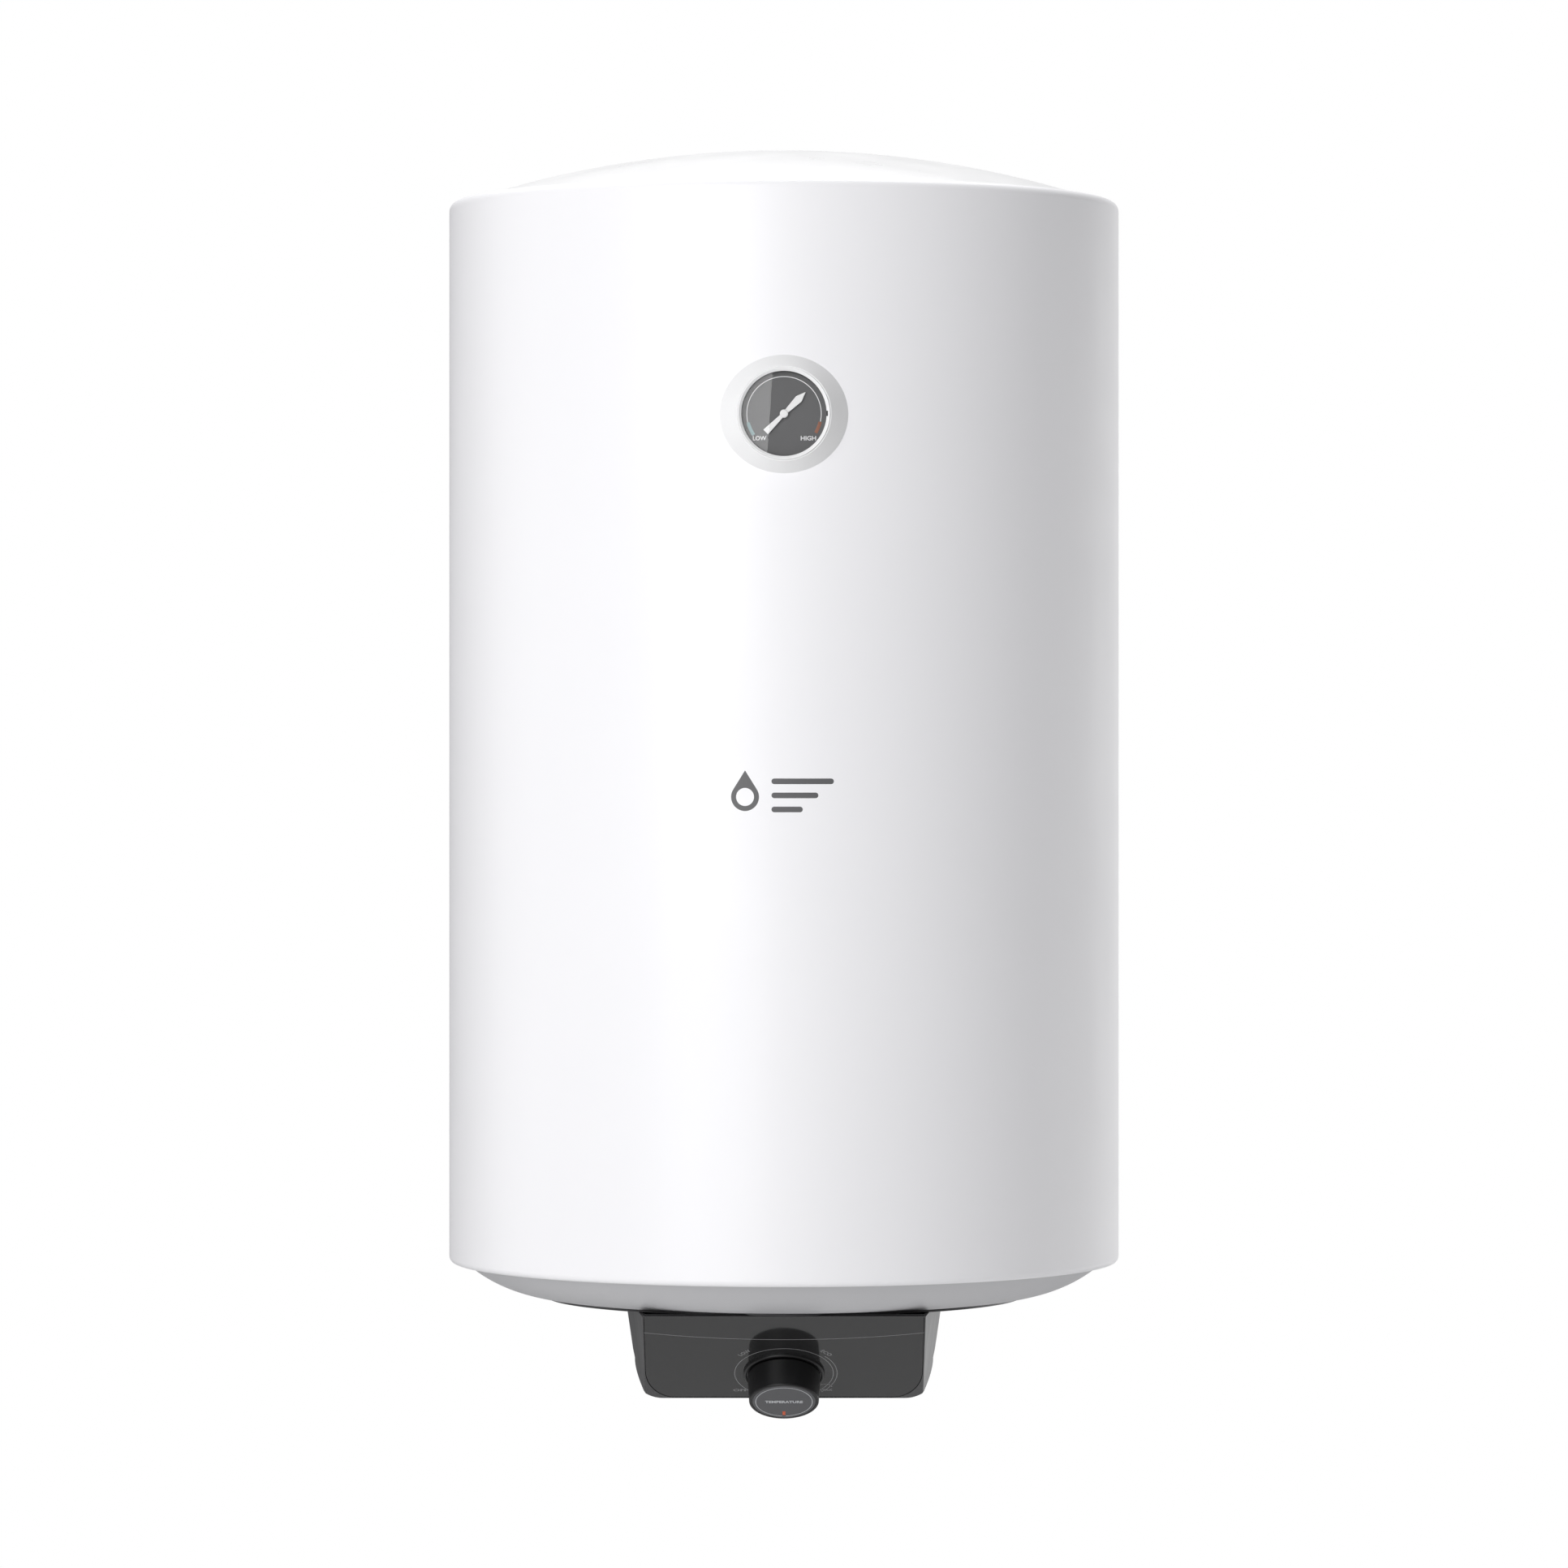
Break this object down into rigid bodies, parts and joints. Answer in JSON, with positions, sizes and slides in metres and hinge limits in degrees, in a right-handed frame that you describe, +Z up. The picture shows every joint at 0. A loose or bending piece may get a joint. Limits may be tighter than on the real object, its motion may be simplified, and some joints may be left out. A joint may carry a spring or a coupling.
{
  "type": "tank water heater",
  "caption": "Wall-hung electric storage water heater: white upright cylinder with domed top, round thermometer, and a dark control box with a turning knob underneath.",
  "frame": {"origin": "middle of the upper wall bracket's two slots, on the wall plane", "axes": "+Z up along the tank, +Y into the wall, +X to the right when facing the heater's front"},
  "size_m": [0.45, 0.476, 0.8421],
  "materials": {
    "white_paint": "satin white powder coat",
    "white_plastic": "white moulding, soft gloss",
    "grey_plastic": "light grey moulding, fine satin grain",
    "dark_plastic": "dark grey moulding, fine matt grain",
    "gloss_dark_plastic": "polished dark grey",
    "knob_face_grey": "mid grey, satin",
    "orange_plastic": "orange inlay",
    "foam": "rigid polyurethane foam, closed cells",
    "enamelled_steel": "vitreous enamel over steel",
    "zinc_steel": "zinc plated",
    "copper": "bare copper",
    "brass": "bare brass",
    "magnesium": "bare magnesium",
    "black_rubber": "matt black",
    "blue_plastic": "blue moulding",
    "red_plastic": "red moulding",
    "cream_plastic": "cream moulding",
    "phenolic": "dark brown phenolic",
    "reset_red": "red moulding",
    "brown_insulation": "brown wire sleeve",
    "blue_insulation": "blue wire sleeve",
    "green_yellow_insulation": "green wire sleeve with a yellow stripe",
    "black_plastic": "black moulding",
    "dial_grey": "printed grey dial",
    "clear_lens": "clear",
    "needle_white": "white enamel"
  },
  "bodies": {
    "heater": {"casing": "white_paint", "top_cap": "white_plastic", "bottom_cap": "grey_plastic", "base_disc": "dark_plastic", "cover_posts": "dark_plastic", "insulation": "foam", "tank_barrel": "enamelled_steel", "tank_top_head": "enamelled_steel", "tank_bottom_head": "enamelled_steel", "bracket_pads": "enamelled_steel", "upper_wall_bracket": "zinc_steel", "lower_wall_bracket": "zinc_steel", "flange_neck": "enamelled_steel", "flange_studs": "zinc_steel", "flange_gasket": "black_rubber", "flange_plate": "zinc_steel", "flange_nuts": "zinc_steel", "heating_element": "copper", "element_link": "brass", "anode_rod": "magnesium", "anode_nut": "zinc_steel", "sensor_pocket": "copper", "thermostat_bulb": "copper", "thermostat_capillary": "copper", "cold_inlet_pipe": "zinc_steel", "inlet_diffuser": "cream_plastic", "hot_outlet_pipe": "zinc_steel", "cold_collar": "blue_plastic", "hot_collar": "red_plastic", "control_cover": "dark_plastic", "control_panel": "gloss_dark_plastic", "cover_screws": "zinc_steel", "knob_trim_ring": "dark_plastic", "thermostat": "cream_plastic", "thermostat_screws": "zinc_steel", "safety_cutout": "phenolic", "terminal_bracket": "zinc_steel", "terminal_block": "cream_plastic", "terminal_screws": "brass", "live_wires": "brown_insulation", "neutral_wire": "blue_insulation", "earth_wire": "green_yellow_insulation", "earth_screw": "brass", "cord_gland": "black_plastic", "gland_nut": "black_plastic", "gauge_collar": "white_plastic", "gauge_case": "black_plastic", "gauge_bezel": "white_plastic", "gauge_lens": "clear_lens", "gauge_dial": "dial_grey", "gauge_movement": "brass", "gauge_capillary": "copper", "gauge_bulb": "copper"},
    "control_knob": {"knob": "dark_plastic", "knob_face": "knob_face_grey", "knob_mark": "orange_plastic", "thermostat_spindle": "zinc_steel"},
    "needle": {"gauge_needle": "needle_white", "gauge_arbor": "brass"},
    "reset": {"reset_button": "reset_red"}
  },
  "joints": [
    {"name": "knob_turn", "type": "hinge", "parent": "heater", "child": "control_knob", "pos_m": [0, -0.33965, -0.61296], "axis": [0, 0.5736, 0.8192], "range_deg": [0, 315]},
    {"name": "needle_turn", "type": "hinge", "parent": "heater", "child": "needle", "pos_m": [0, -0.466, 0.013], "axis": [0, 1, 0], "range_deg": [-170, 76]},
    {"name": "reset_press", "type": "slide", "parent": "heater", "child": "reset", "axis": [0, 0, 1], "range_m": [0, 0.0015], "stiffness_N_per_m": 400, "springref_m": -0.001}
  ]
}
